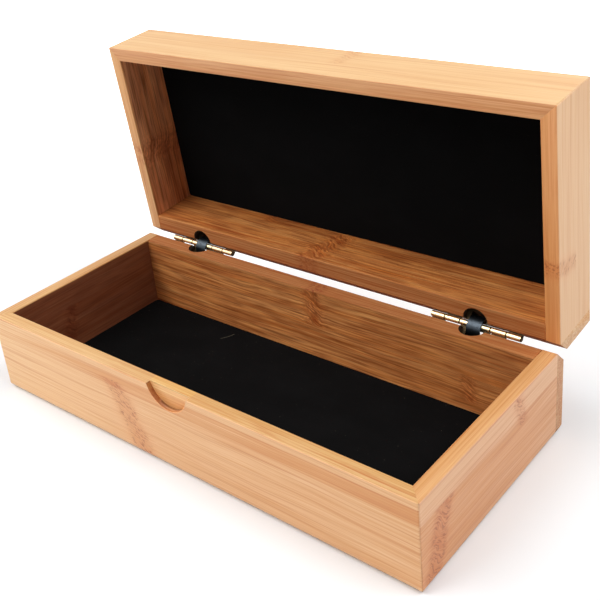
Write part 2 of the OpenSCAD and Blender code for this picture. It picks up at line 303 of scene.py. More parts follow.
def bamboo(node, board):
    """Laminated bamboo for one board, laid out on the shut box."""
    colours = bpy.context.scene.wine_box_colours
    shader = Shader("Bamboo " + node)
    x, y, z = places_in_mm(shader, node.startswith("lid"))
    side, shift = board["side"], board["shift"]
    thick = THICK_MM.get(side)
    along, up, deep = SIDES[side](x, y, z)

    # strips glued one over the other, each with its own tone and its own run of grain
    tones = board["tones"]
    tone = along * board.get("slope", 0.0) + tones[0]
    grain_shift = shift
    glue = 0.0
    for index, seam in enumerate(board["seams"]):
        past = up.above(seam)
        tone = past * (tones[index + 1] - tones[index]) + tone
        grain_shift = past * (37.0 + 61.0 * index) + grain_shift
        glue = up.near(seam, 0.5) + glue
    grain = along + grain_shift

    lip, inner = 0.0, 0.0
    if thick:
        lip = up.near(RIM_Z / MM, 0.9).ramp(0.0, 0.25) * deep.ramp(0.08, 0.40)
        inner = deep.ramp(thick - 0.7, thick - 0.3) * (1 - lip)
        inner = inner * up.above(1.0) * (1 - up.above(LID_TOP_Z / MM - 1.0))
        top_edge_shade = up.ramp(LID_TOP_Z / MM - 2.2, LID_TOP_Z / MM - 0.8) * (1 - inner)

    # fibres drift a little, and swirl where a bamboo node lies
    swirl = shader.noise((along / 6.0, up / 4.5, deep / 5.0 + shift), 1.0) - 0.5
    drift = shader.noise((grain / 90.0, up / 30.0, shift), 1.0) - 0.5
    bands = []
    turmoil = 0.0
    for place, low, high, half_width, strength, slant in board["nodes"]:
        wave = shader.noise((up / 7.0, deep / 9.0, shift + place), 1.0) - 0.5
        offset = along - place - (up - (low + high) / 2) * slant + wave * half_width
        within = up.ramp(low - 1.5, low + 0.5) * up.ramp(high - 0.5, high + 1.5, 1.0, 0.0)
        bands.append((offset, within, half_width, strength))
        turmoil = offset.near(0.0, 3.2 * half_width) * within * (2.6 * strength) + turmoil
    fibre_up = up + drift * 5.0
    if bands:
        fibre_up = fibre_up + swirl * turmoil
    for offset, within, half_width, strength in bands:
        fibre_up = offset.ramp(-half_width, half_width) * within * (6.0 * strength) + fibre_up

    fine = shader.noise((grain / 55.0, fibre_up / 0.62, deep / 0.55), 3.0, 0.65)
    streak = shader.noise((grain / 110.0, fibre_up / 1.4, deep / 1.1), 2.0, 0.6)
    broad = shader.noise((grain / 190.0, fibre_up / 6.0, deep / 5.0), 2.0, 0.5)
    vein = shader.noise((grain / 170.0 + 19.0, fibre_up / 1.1, deep / 1.0), 1.0, 0.5)
    cord = shader.noise((grain / 240.0 + 7.0, fibre_up / 2.6, deep / 2.4), 1.0, 0.5)
    contrast = board["contrast"]
    veins = vein.ramp(0.54, 0.72) * (0.40 * contrast)
    cords = cord.ramp(0.60, 0.72) * (0.34 * contrast)

    warm = (broad - 0.5) * (1.1 * contrast) + (streak - 0.5) * (2.3 * contrast) + tone
    wood = shader.blend(warm.ramp(-0.15, 1.15), tuple(colours.pale), tuple(colours.amber))
    wood = shader.blend((veins + cords + glue * 0.25).least(0.8), wood, tuple(colours.russet))
    wood = wood.tinted(fine.ramp(0.28, 0.70, 0.95, 0.0) * contrast, (0.89, 0.75, 0.61))

    # inner faces are rough sawn: shorter, stronger streaks, in patches that catch the light unevenly
    if thick:
        saw = shader.noise((grain / 34.0, fibre_up / 1.15, deep / 1.2), 3.0, 0.6)
        sheen = shader.noise((grain / 26.0 + 5.0, fibre_up / 7.0, deep / 6.0), 1.0)
        depth = inner * board.get("sawn", 1.0)
        wood = wood.tinted(depth * saw.ramp(0.48, 0.66), (0.64, 0.52, 0.42))
        wood = wood.tinted(depth * saw.ramp(0.34, 0.46, 1.0, 0.0), (1.14, 1.20, 1.16))
        wood = wood.tinted(depth * sheen.ramp(0.50, 0.64), (0.84, 0.79, 0.76))
        wood = wood.tinted(depth * sheen.ramp(0.36, 0.48, 1.0, 0.0), (1.14, 1.18, 1.14))

    # bamboo nodes: a soft pinker band with short dark dashes in it
    flecks = 0.0
    if bands:
        dashes = shader.noise((along / 3.2 + shift + swirl * 1.5, fibre_up / 1.25, deep / 1.4), 2.0, 0.5)
        patch = shader.noise((along / 5.0, up / 6.0, deep / 3.0 + shift), 1.0)
        dash = dashes.ramp(0.48, 0.64) * patch.ramp(0.36, 0.58, 0.15, 1.0)
        figure = shader.noise((along / 3.4, fibre_up / 1.7, deep / 3.0), 2.0, 0.6)
        for offset, within, half_width, strength in bands:
            haze = offset.near(0.0, 2.2 * half_width) * within * strength
            band = offset.near(0.0, half_width * 1.6).ramp(0.0, 0.8) * within * (1.6 * strength - 0.55)
            wood = wood.tinted(haze.least(1.4) * 0.55, (0.96, 0.83, 0.76))
            wood = wood.tinted(band.least(1.0) * 0.45, (0.86, 0.74, 0.66))
            wood = wood.tinted(haze * inner * figure.ramp(0.5, 0.7), (0.58, 0.48, 0.40))
            wood = wood.tinted(haze * inner * figure.ramp(0.3, 0.5, 1.0, 0.0), (1.35, 1.40, 1.38))
            flecks = band * dash + flecks
        wood = shader.blend(flecks.least(1.0) * 0.62, wood, tuple(colours.fleck))

    wood = wood.tinted(1.0, board["tint"])
    # painted light: the front is lighter towards its left end
    if "left_end_light" in board:
        far = along.ramp(-HALF_LENGTH / MM, -0.1 * HALF_LENGTH / MM, 1.0, 0.0)
        wood = wood.tinted(far, board["left_end_light"])
    if thick:
        # inner faces get painted shade, darker and deeper in colour; each rim gets a tint of its own, which
        # on the back rims is painted shade, and the other rims are a little more golden
        gold = deep.ramp(0.35 * thick, 0.70 * thick)
        wood = wood.tinted(lip, board["rim"])
        line = shader.noise((grain / 70.0 + 3.0, up / 3.0, deep / 0.75), 2.0, 0.55)
        wood = wood.tinted(lip * line.ramp(0.50, 0.66) * contrast, (0.90, 0.77, 0.60))
        wood = wood.tinted(lip * line.ramp(0.34, 0.48, 1.0, 0.0) * contrast, (1.05, 1.09, 1.12))
        if side != "back":
            wood = wood.tinted(lip * gold, (0.93, 0.88, 0.78))
        wood = wood.tinted(inner, board["inner"])
        # painted shade along the rounded edge round the lid's top
        wood = wood.tinted(top_edge_shade, (0.84, 0.76, 0.68))
    if side == "back":
        # end grain, and painted shade in the holes bored for the springs
        end = abs(x).ramp(HALF_LENGTH / MM - 0.3, HALF_LENGTH / MM - 0.1)
        dots = shader.noise((x / 3.0, y / 0.7, z / 0.7), 2.0, 0.6)
        wood = wood.tinted(end, board["end"])
        wood = wood.tinted(end * dots.ramp(0.5, 0.7) * 0.35, (0.6, 0.5, 0.45))
        off = abs(x) - HINGE_X / MM
        back = y - LAP_Y / MM
        pocket_shade = 1 - (off * off + back * back).above((POCKET_R / MM + 0.06) ** 2)
        pocket_shade = pocket_shade * (1 - abs(up - RIM_Z / MM).above(POCKET_DEEP / MM + 0.06))
        # painted shade: the pocket bores are painted near black
        wood = wood.tinted(pocket_shade, (0.05, 0.04, 0.035))
        # painted shade on the long chamfers along the back
        chamfer = back.above(0.7) * (1 - abs(abs(up - RIM_Z / MM) - back).above(0.12)) * (1 - end)
        wood = wood.tinted(chamfer, (0.55, 0.40, 0.30))
        matt = (chamfer + lip).least(1.0)
    if node == "base_front_board":
        # the thumb notch: a lighter bare back wall, and round it a rim of end grain with painted shade,
        # mottled and darkest on the left
        in_notch = (1 - abs(x).above(NOTCH_HALF_MM)) * up.above(RIM_Z / MM - NOTCH_DOWN_MM)
        floor = deep.ramp(*NOTCH_FLOOR_MM) * in_notch
        wall = deep.ramp(0.1, 0.4) * in_notch * (1 - floor) * (1 - up.near(RIM_Z / MM, 0.5))
        shade_mottle = shader.noise((x / 1.5, y / 1.5, z / 1.5), 2.0, 0.6)
        wood = wood.tinted(floor, (1.10, 1.12, 0.98))
        wood = wood.tinted(wall * shade_mottle.ramp(0.25, 0.6, 0.75, 1.0), (0.64, 0.50, 0.31))
        # painted shade, darkest on the left side of the notch
        wood = wood.tinted(wall * x.ramp(-9.0, 3.0, 1.0, 0.0), (0.62, 0.48, 0.36))

    roughness = fine.ramp(0.3, 0.7, 0.38, 0.50)
    varying = {"Base Color": wood}
    if side == "back":
        # these parts are left bare, so they don't mirror the bright background at a flat angle
        roughness = roughness.most(matt * 0.95)
        varying["Coat Weight"] = 0.08 - matt * 0.08
    height = fine * 0.6 + streak * 0.3 - glue * 0.5
    varying["Roughness"] = roughness
    varying["Normal"] = shader.bump(height, 0.35, 0.00012)
    return shader.finish({"Specular IOR Level": 0.4, "Coat Roughness": 0.3, "Coat Weight": 0.08}, varying)


def velvet(name, on_lid, lint):
    """Black velvet: a dull pile with a faint nap and a few specks. lint is a hair's place and reach in mm."""
    colours = bpy.context.scene.wine_box_colours
    shader = Shader(name)
    x, y, z = places_in_mm(shader, on_lid)
    pile = shader.noise((x / 0.35, y / 0.35, z / 0.35), 2.0, 0.6)
    nap = shader.noise((x / 34.0, y / 22.0, z / 20.0), 3.0, 0.55)
    cloth = shader.node(
        "ShaderNodeVectorMath", {"operation": "SCALE"},
        {"Vector": tuple(colours.velvet)[:3],
         "Scale": pile.ramp(0.2, 0.8, 0.7, 1.35) * nap.ramp(0.35, 0.75, 0.8, 1.5)})
    specks = shader.noise((x / 0.8, y / 0.8, z / 0.8), 0.0).ramp(0.86, 0.90) * 0.5
    if lint:
        across = x - lint[0]
        along = y - lint[1]
        bend = across - along * 0.5 + along * along * 0.03
        hair = bend.near(0.0, 0.42) * along.near(0.0, lint[2]).ramp(0.02, 0.1)
        specks = specks.most(hair)
    cloth = shader.blend(specks * 0.6, cloth, (0.16, 0.14, 0.10, 1.0))
    return shader.finish(
        {"Roughness": 0.95, "Specular IOR Level": 0.05, "Sheen Weight": 0.02, "Sheen Roughness": 0.45},
        {"Base Color": cloth, "Normal": shader.bump(pile, 0.5, 0.0002)})


# Where painted shade goes, in mm from a hinge's middle: at the joints between knuckles and past the pin's
# ends
INNER_JOINT_MM = 10.1
OUTER_JOINT_MM = 20.2
PIN_END_MM = 29.25
SHADE_REACH_MM = 0.75


def metal(name, colour, dull, tarnish, roughness, shade_in_joints):
    """Drawn metal with patches of tarnish, and painted shade between the knuckles, past the pin's ends and
    down on the leaves.
    """
    shader = Shader(name)
    x, y, z = places_in_mm(shader, False)
    lines = shader.noise((x / 8.0, y / 0.5, z / 0.5), 2.0, 0.6)
    patches = shader.noise((x / 2.6, y / 1.6, z / 1.6), 3.0, 0.6)
    tarnish_and_shade = patches.ramp(0.48, 0.75) * tarnish
    if shade_in_joints:
        off = abs(abs(x) - HINGE_X / MM)
        outer = off.near(OUTER_JOINT_MM, SHADE_REACH_MM)
        inner = off.near(INNER_JOINT_MM, SHADE_REACH_MM)
        joints = outer.most(inner).most(off.above(PIN_END_MM)).ramp(0.0, 0.7)
        out_y = y - AXIS.y / MM
        out_z = z - AXIS.z / MM
        # the leaves begin a little over 2 mm from the pin; this is that distance squared
        leaf = (out_y * out_y + out_z * out_z).ramp(4.0, 5.0)
        # painted shade at the joints, past the pin's ends and on the leaves, on top of the tarnish
        tarnish_and_shade = tarnish_and_shade.most(joints * 0.95).most(leaf * 0.97)
    shine = shader.blend(tarnish_and_shade, tuple(colour), dull)
    return shader.finish(
        {"Metallic": 1.0},
        {"Base Color": shine,
         "Roughness": lines.ramp(0.3, 0.7, roughness - 0.05, roughness + 0.06) + tarnish_and_shade * 0.25,
         "Normal": shader.bump(lines, 0.15, 0.00004)})


# ---- Mesh helpers ----

def add_object(name, mesh, material):
    piece = bpy.data.objects.new(name, mesh)
    bpy.context.scene.collection.objects.link(piece)
    mesh.materials.clear()
    mesh.materials.append(material)
    return piece


def mesh_from(work, name):
    """Turns a bmesh into a mesh."""
    mesh = bpy.data.meshes.new(name)
    work.to_mesh(mesh)
    work.free()
    return mesh


def drawn_out(name, outline, vector):
    """A closed mesh of a flat outline drawn out along a vector."""
    work = bmesh.new()
    face = work.faces.new([work.verts.new(point) for point in outline])
    drawn = bmesh.ops.extrude_face_region(work, geom=[face])
    moved = [v for v in drawn["geom"] if isinstance(v, bmesh.types.BMVert)]
    bmesh.ops.translate(work, vec=vector, verts=moved)
    bmesh.ops.recalc_face_normals(work, faces=work.faces)
    return mesh_from(work, name)


def piece_from(work, name, material, angle=math.radians(35)):
    """Turns a bmesh into a piece that is shaded smoothly over edges flatter than angle."""
    mesh = mesh_from(work, name)
    smooth_shading(mesh, angle)
    return add_object(name, mesh, material)


def smooth_shading(mesh, angle=math.radians(35)):
    """Shades smoothly over edges flatter than angle, with the large faces left looking flat."""
    mesh.shade_smooth()
    mesh.set_sharp_from_angle(angle=angle)


def weigh_normals(piece):
    """Lets the large faces set the shading, so that a rounded edge doesn't smudge them, and bakes it in."""
    weighted = piece.modifiers.new("Weighted normals", "WEIGHTED_NORMAL")
    weighted.keep_sharp = True
    weighted.weight = 100
    bake_modifiers(piece)


def bake_modifiers(piece):
    """Turns a piece with modifiers into a plain mesh."""
    graph = bpy.context.evaluated_depsgraph_get()
    mesh = bpy.data.meshes.new_from_object(piece.evaluated_get(graph), depsgraph=graph)
    old = piece.data
    piece.modifiers.clear()
    piece.data = mesh
    bpy.data.meshes.remove(old)
    mesh.name = piece.name


def seat(piece, body, node):
    """Puts a piece on its body in place of a CAD node."""
    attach(piece, body)
    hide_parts(node)


def merged_copy(node):
    """The mesh of a CAD node as whole flat faces."""
    work = bmesh.new()
    work.from_mesh(frame["nodes"][node].data)
    bmesh.ops.remove_doubles(work, verts=work.verts, dist=1e-6)
    bmesh.ops.dissolve_limit(
        work, angle_limit=math.radians(0.3), verts=work.verts, edges=work.edges,
        use_dissolve_boundaries=False)
    return work


def bevel(work, edges, width, segments=3):
    if edges:
        bmesh.ops.bevel(
            work, geom=list(edges), offset=width, offset_type="OFFSET", segments=segments, profile=0.5,
            affect="EDGES", clamp_overlap=False, loop_slide=True)


def is_sharp(edge, angle=math.radians(33)):
    return len(edge.link_faces) == 2 and edge.calc_face_angle(0.0) > angle


SHORTEST_SEAM = 0.6 * MM
POCKET_EDGE = 3 * MM
# A little more than half the thumb notch's width, and than its depth below the rim
NOTCH_SIDE = 20 * MM
NOTCH_BELOW = 15 * MM


def eased_board(node, material):
    """A copy of a board with its rims eased and a fine groove along its joints."""
    sizes = bpy.context.scene.wine_box_sizes
    on_lid = node.startswith("lid")
    work = merged_copy(node)
    if on_lid:
        bmesh.ops.transform(work, matrix=SHUT, verts=work.verts)
    near = 0.02 * MM
    corner = HALF_LENGTH + FRONT_Y

    def on_rim(v):
        return abs(v.co.z - RIM_Z) < near

    def on_mitre(v):
        return abs(abs(v.co.x) + v.co.y - corner) < near

    def on_back_edge(edge):
        return is_sharp(edge) and all(
            abs(v.co.y - BACK_Y) < near and abs(abs(v.co.z - RIM_Z) - CHAMFER) < near for v in edge.verts)

    def in_pocket(edge):
        return "back" in node and edge.calc_length() < POCKET_EDGE

    def long_rim(edge):
        if not is_sharp(edge) or in_pocket(edge):
            return False
        ends = edge.verts
        if all(on_mitre(v) for v in ends):
            return False
        if "back" not in node and all(abs(v.co.y - LAP_Y) < near for v in ends):
            return False
        return all(on_rim(v) for v in ends)

    def notch_line(edge):
        ends = edge.verts
        return (is_sharp(edge) and all(abs(v.co.y - FRONT_Y) < near for v in ends)
                and all(abs(v.co.x) < NOTCH_SIDE and v.co.z > RIM_Z - NOTCH_BELOW for v in ends)
                and not all(on_rim(v) for v in ends))

    def seam_line(edge):
        # the short edges round the lid's tight top corners would fold under a bevel
        if on_lid and edge.calc_length() < SHORTEST_SEAM:
            return False
        return is_sharp(edge) and all(on_mitre(v) for v in edge.verts)

    if node == "base_front_board":
        bevel(work, [e for e in work.edges if long_rim(e) or notch_line(e)], sizes.notch_ease)
    else:
        bevel(work, [e for e in work.edges if long_rim(e)], sizes.rim_ease)
    if "back" in node:
        bevel(work, [e for e in work.edges if on_back_edge(e)], sizes.chamfer_ease, 4)
    bevel(work, [e for e in work.edges if seam_line(e)], sizes.seam_ease, 2)
    if on_lid:
        bmesh.ops.transform(work, matrix=SHUT.inverted(), verts=work.verts)
    piece = piece_from(work, node + "_eased", material)
    weigh_normals(piece)
    return piece


# ---- Hinges ----

LEAF_LOW, LEAF_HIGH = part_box("right_hinge_lower_leaf")
HINGE_L = LEAF_HIGH.x - LEAF_LOW.x
BARREL_R = 1.88 * MM
PIN_R = 1.1 * MM
HEAD_R = 1.55 * MM
END_KNUCKLE = 9.2 * MM
MIDDLE_KNUCKLE = 19.6 * MM
KNUCKLE_GAP = 0.2 * MM
MIDDLE_GAP = 0.6 * MM
LEAF_START = 2.5 * MM
LEAF_REACH = 12 * MM
WINDOW = 10.9 * MM
WINDOW_REACH = 8.2 * MM
KERF_ANGLE = math.radians(45)
STRAP_BEND_R = 6.8 * MM
# From the pin's axis back to the middle of the strap's bend
STRAP_BACK = 4.5 * MM
INNER_KNUCKLE = (HINGE_L - 2 * END_KNUCKLE - MIDDLE_KNUCKLE - 2 * KNUCKLE_GAP - 2 * MIDDLE_GAP) / 2

LOWER_KNUCKLES = [
    (-HINGE_L / 2, END_KNUCKLE),
    (-MIDDLE_KNUCKLE / 2, MIDDLE_KNUCKLE),
    (MIDDLE_KNUCKLE / 2 + MIDDLE_GAP, INNER_KNUCKLE),
]
UPPER_KNUCKLES = [
    (-MIDDLE_KNUCKLE / 2 - MIDDLE_GAP - INNER_KNUCKLE, INNER_KNUCKLE),
    (HINGE_L / 2 - END_KNUCKLE, END_KNUCKLE),
]


def hinge_middle(side):
    low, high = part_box(f"{side}_hinge_pin")
    return Vector(((low.x + high.x) / 2, AXIS.y, AXIS.z))


def rolled_section():
    """Section of a rolled knuckle and its tab: the sheet comes up from the leaf and goes round the pin."""
    sizes = bpy.context.scene.wine_box_sizes
    inner_r = BARREL_R - sizes.sheet_t
    roll_end = math.pi + math.asin((inner_r - sizes.roll_gap) / BARREL_R)
    start = -math.pi / 2
    steps = 40
    turns = [start + (roll_end - start) * step / steps for step in range(steps + 1)]
    outline = [(-LEAF_START, -BARREL_R)]
    outline += [(BARREL_R * math.cos(turn), BARREL_R * math.sin(turn)) for turn in turns]
    outline += [(inner_r * math.cos(turn), inner_r * math.sin(turn)) for turn in reversed(turns)]
    outline.append((-LEAF_START, -inner_r))
    return outline


def tree_with(name, sockets):
    """A Geometry Nodes tree with inputs given as (name, socket type, default), and those inputs."""
    tree = bpy.data.node_groups.new(name, "GeometryNodeTree")
    tree.interface.new_socket("Geometry", in_out="OUTPUT", socket_type="NodeSocketGeometry")
    for label, kind, default in sockets:
        socket = tree.interface.new_socket(label, in_out="INPUT", socket_type=kind)
        if default is not None:
            socket.default_value = default
    return tree, tree.nodes.new("NodeGroupInput").outputs


def end_tree(tree, shape, material):
    """Ends a Geometry Nodes tree: its instances are made real and get their material."""
    real = add_node(tree, "GeometryNodeRealizeInstances", None, {"Geometry": shape})
    painted = add_node(
        tree, "GeometryNodeSetMaterial", None, {"Geometry": real.outputs["Geometry"], "Material": material})
    add_node(tree, "NodeGroupOutput", None, {"Geometry": painted.outputs["Geometry"]})
    return tree


def set_input(modifier, label, value):
    """Sets a Geometry Nodes modifier's input through its socket's identifier."""
    for item in modifier.node_group.interface.items_tree:
        if item.item_type == "SOCKET" and item.in_out == "INPUT" and item.name == label:
            modifier[item.identifier] = value
            return
    raise KeyError(label)


def knuckle_row_tree():
    """Sets a rolled knuckle on every point, drawn out to the length that the point carries."""
    tree, given = tree_with("Knuckle row", [
        ("Places", "NodeSocketGeometry", None),
        ("Knuckle", "NodeSocketObject", None),
        ("Brass", "NodeSocketMaterial", None),
    ])
    knuckle = add_node(tree, "GeometryNodeObjectInfo", None, {"Object": given["Knuckle"]})
    length = add_node(
        tree, "GeometryNodeInputNamedAttribute", {"data_type": "FLOAT"}, {"Name": "knuckle_length"})
    stretch = add_node(
        tree, "ShaderNodeCombineXYZ", None, {"X": length.outputs["Attribute"], "Y": 1.0, "Z": 1.0})
    row = add_node(tree, "GeometryNodeInstanceOnPoints", None, {
        "Points": given["Places"], "Instance": knuckle.outputs["Geometry"],
        "Scale": stretch.outputs["Vector"]})
    return end_tree(tree, row.outputs["Instances"], given["Brass"])


def strap_tree():
    """A strap of rounded section that follows an arc."""
    tree, given = tree_with("Spring strap", [
        ("Bend radius", "NodeSocketFloat", STRAP_BEND_R),
        ("Half angle", "NodeSocketFloat", math.radians(65)),
        ("Width", "NodeSocketFloat", 9.3 * MM),
        ("Thickness", "NodeSocketFloat", 0.6 * MM),
        ("Edge radius", "NodeSocketFloat", 0.2 * MM),
        ("Steel", "NodeSocketMaterial", None),
    ])
    times = {"operation": "MULTIPLY"}
    start = add_node(tree, "ShaderNodeMath", times, {0: given["Half angle"], 1: -1.0})
    sweep = add_node(tree, "ShaderNodeMath", times, {0: given["Half angle"], 1: 2.0})
    arc = add_node(tree, "GeometryNodeCurveArc", {"mode": "RADIUS"}, {
        "Resolution": 41, "Radius": given["Bend radius"], "Start Angle": start.outputs[0],
        "Sweep Angle": sweep.outputs[0]})
    section = add_node(tree, "GeometryNodeCurvePrimitiveQuadrilateral", None, {
        "Width": given["Thickness"], "Height": given["Width"]})
    fillet = add_node(tree, "GeometryNodeFilletCurve", {"mode": "POLY"}, {
        "Count": 4, "Curve": section.outputs["Curve"], "Radius": given["Edge radius"]})
    strap = add_node(tree, "GeometryNodeCurveToMesh", None, {
        "Fill Caps": True, "Curve": arc.outputs["Curve"], "Profile Curve": fillet.outputs["Curve"]})
    return end_tree(tree, strap.outputs["Mesh"], given["Steel"])


def leaf_plate():
    """The flat part of a leaf as a mesh, with the window that the spring passes through."""
    sizes = bpy.context.scene.wine_box_sizes
    half, window = HINGE_L / 2 - 0.1 * MM, WINDOW / 2
    outline = [
        (-half, -LEAF_REACH), (half, -LEAF_REACH), (half, -LEAF_START), (window, -LEAF_START),
        (window, -WINDOW_REACH), (-window, -WINDOW_REACH), (-window, -LEAF_START), (-half, -LEAF_START),
    ]
    return drawn_out("leaf_plate", [(x, y, -BARREL_R) for x, y in outline], (0, 0, sizes.sheet_t))


def hinge_leaf(side, half, brass):
    """A brass leaf with its rolled knuckles, in place on the open box."""
    places = LOWER_KNUCKLES if half == "lower" else UPPER_KNUCKLES
    node = f"{side}_hinge_{half}_leaf"
    points = bpy.data.meshes.new("knuckle_places")
    points.from_pydata([(x, 0, 0) for x, _ in places], [], [])
    lengths = points.attributes.new("knuckle_length", "FLOAT", "POINT")
    lengths.data.foreach_set("value", [length for _, length in places])
    row = add_object("knuckle_row", points, brass)
    knuckle = drawn_out("knuckle", [(0, y, z) for y, z in rolled_section()], (1, 0, 0))
    master = add_object("knuckle_master", knuckle, brass)
    repeat = row.modifiers.new("Knuckle row", "NODES")
    repeat.node_group = knuckle_row_tree()
    set_input(repeat, "Knuckle", master)
    set_input(repeat, "Brass", brass)
    bake_modifiers(row)
    bpy.data.objects.remove(master)

    work = bmesh.new()
    work.from_mesh(row.data)
    bpy.data.objects.remove(row)
    for attribute in list(work.verts.layers.float.keys()):
        work.verts.layers.float.remove(work.verts.layers.float[attribute])
    work.from_mesh(leaf_plate())
    bevel(work, [e for e in work.edges if is_sharp(e, math.radians(60))], 0.09 * MM, 2)
    turn = Matrix.Rotation(KERF_ANGLE, 4, "X")
    middle = hinge_middle(side)
    if half == "lower":
        place = Matrix.Translation(middle) @ turn
    else:
        flip = Matrix.Diagonal((1, 1, -1, 1))
        place = SHUT.inverted() @ Matrix.Translation(middle) @ flip @ turn
    bmesh.ops.transform(work, matrix=place, verts=work.verts)
    bmesh.ops.recalc_face_normals(work, faces=work.faces)
    piece = piece_from(work, node + "_rolled", brass)
    weigh_normals(piece)
    seat(piece, "base" if half == "lower" else "lid", node)


def hinge_pin(side, brass):
    """A pin with a domed head at each end, turned from its outline."""
    node = f"{side}_hinge_pin"
    low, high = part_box(node)
    head_t = 0.4 * MM
    half = (high.x - low.x) / 2
    dome = 6
    outline = [(0.0, half)]
    for step in range(1, dome + 1):
        turn = math.pi / 2 * step / dome
        outline.append((HEAD_R * math.sin(turn), half - head_t * 0.75 * (1 - math.cos(turn))))
    outline.append((HEAD_R, half - head_t))
    outline.append((PIN_R, half - head_t))
    outline += [(r, -x) for r, x in reversed(outline)]
    work = bmesh.new()
    around = 32
    rings = []
    for r, x in outline:
        if r < 1e-9:
            rings.append([work.verts.new((x, 0, 0))])
        else:
            turns = [math.tau * k / around for k in range(around)]
            rings.append([work.verts.new((x, r * math.cos(turn), r * math.sin(turn))) for turn in turns])
    for first, second in zip(rings, rings[1:]):
        for k in range(around):
            after = (k + 1) % around
            if len(first) == 1:
                work.faces.new((first[0], second[k], second[after]))
            elif len(second) == 1:
                work.faces.new((first[k], second[0], first[after]))
            else:
                work.faces.new((first[k], second[k], second[after], first[after]))
    bmesh.ops.recalc_face_normals(work, faces=work.faces)
    bmesh.ops.translate(work, vec=hinge_middle(side), verts=work.verts)
    seat(piece_from(work, node + "_turned", brass), "base", node)


def hinge_spring(side, steel, tree):
    """A bent strap over the middle knuckle, facing halfway between the rims."""
    node = f"{side}_hinge_spring"
    piece = add_object(node + "_strap", bpy.data.meshes.new(node), steel)
    strap = piece.modifiers.new("Spring strap", "NODES")
    strap.node_group = tree
    set_input(strap, "Steel", steel)
    bake_modifiers(piece)
    mesh = piece.data
    # the arc lies in X and Y with the strap's width along Z: width goes along X, the bend into Y and Z
    upright = Matrix(((0, 0, 1, 0), (1, 0, 0, 0), (0, 1, 0, 0), (0, 0, 0, 1)))
    place = (Matrix.Translation(hinge_middle(side)) @ Matrix.Rotation(math.pi - OPEN_ANGLE / 2, 4, "X")
             @ Matrix.Translation((0, -STRAP_BACK, 0)) @ upright)
    mesh.transform(place)
    work = bmesh.new()
    work.from_mesh(mesh)
    bmesh.ops.remove_doubles(work, verts=work.verts, dist=1e-6)
    bmesh.ops.recalc_face_normals(work, faces=work.faces)
    work.to_mesh(mesh)
    work.free()
    smooth_shading(mesh)
    seat(piece, f"{side}_spring", node)


# ---- Linings ----

def velvet_outline(width, depth, radius, waver, seed):
    """Points round a lining: a rectangle with rounded corners whose cut edges waver a little inwards."""
    rng = random.Random(seed)
    waves = [
        (rng.uniform(0.02, 0.09) / MM, rng.uniform(0, math.tau), rng.uniform(0.3, 1.0)) for _ in range(5)]
    total = sum(size for _, _, size in waves)
    points, travelled = [], 0.0
    step = 1.5 * MM
    corners = [(1, 1, 0), (-1, 1, 1), (-1, -1, 2), (1, -1, 3)]
    raw = []
    for sx, sy, quarter in corners:
        cx, cy = sx * (width / 2 - radius), sy * (depth / 2 - radius)
        for k in range(7):
            turn = math.pi / 2 * (quarter + k / 6)
            ox, oy = math.cos(turn), math.sin(turn)
            raw.append((cx + radius * ox, cy + radius * oy, ox, oy))
        ex, ey = math.cos(math.pi / 2 * (quarter + 1)), math.sin(math.pi / 2 * (quarter + 1))
        nx, ny, _ = corners[(quarter + 1) % 4]
        start = Vector((cx + radius * ex, cy + radius * ey))
        end = Vector((nx * (width / 2 - radius) + radius * ex, ny * (depth / 2 - radius) + radius * ey))
        count = max(2, int((end - start).length / step))
        for k in range(1, count):
            spot = start.lerp(end, k / count)
            raw.append((spot.x, spot.y, ex, ey))
    for px, py, ox, oy in raw:
        travelled += step
        wave = sum(size * math.sin(rate * travelled * 0.35 + phase) for rate, phase, size in waves) / total
        inward = waver * (0.5 - 0.5 * wave)
        points.append((px - ox * inward, py - oy * inward, ox, oy))
    return points


def lining(node, name, material, seed):
    """A velvet-covered card: wavering cut edge, rounded corners, and a soft upper edge."""
    sizes = bpy.context.scene.wine_box_sizes
    on_lid = node.startswith("lid")
    turn = SHUT if on_lid else Matrix.Identity(4)
    corners = [turn @ v.co for v in frame["nodes"][node].data.vertices]
    low = Vector([min(c[i] for c in corners) for i in range(3)])
    high = Vector([max(c[i] for c in corners) for i in range(3)])
    thick = high.z - low.z
    middle = (low + high) / 2
    rim = velvet_outline(high.x - low.x, high.y - low.y, sizes.velvet_corner, sizes.velvet_waver, seed)
    # (how far in, how high) of each loop round the card, from its back up over the soft edge
    loops = [(0.0, 0.0), (0.0, 0.55), (0.07, 0.78), (0.22, 0.93), (0.42, 1.0)]
    work = bmesh.new()
    rings = []
    for inset, rise in loops:
        height = rise * thick
        z = high.z - height if on_lid else low.z + height
        rings.append([
            work.verts.new((middle.x + px - ox * inset * MM, middle.y + py - oy * inset * MM, z))
            for px, py, ox, oy in rim])
    count = len(rim)
    for first, second in zip(rings, rings[1:]):
        for k in range(count):
            work.faces.new((first[k], first[(k + 1) % count], second[(k + 1) % count], second[k]))
    work.faces.new(rings[0])
    work.faces.new(rings[-1])
    bmesh.ops.recalc_face_normals(work, faces=work.faces)
    bmesh.ops.transform(work, matrix=turn.inverted(), verts=work.verts)
    piece = piece_from(work, name, material, math.radians(50))
    weigh_normals(piece)
    seat(piece, "lid" if on_lid else "base", node)


# ---- Boards and their patterns ----

# Painted shade on the inner faces of end boards: strong on the tray's, slight on the lid's
END_INNER = (0.30, 0.19, 0.17)
LID_END_INNER = (1.04, 0.79, 0.71)

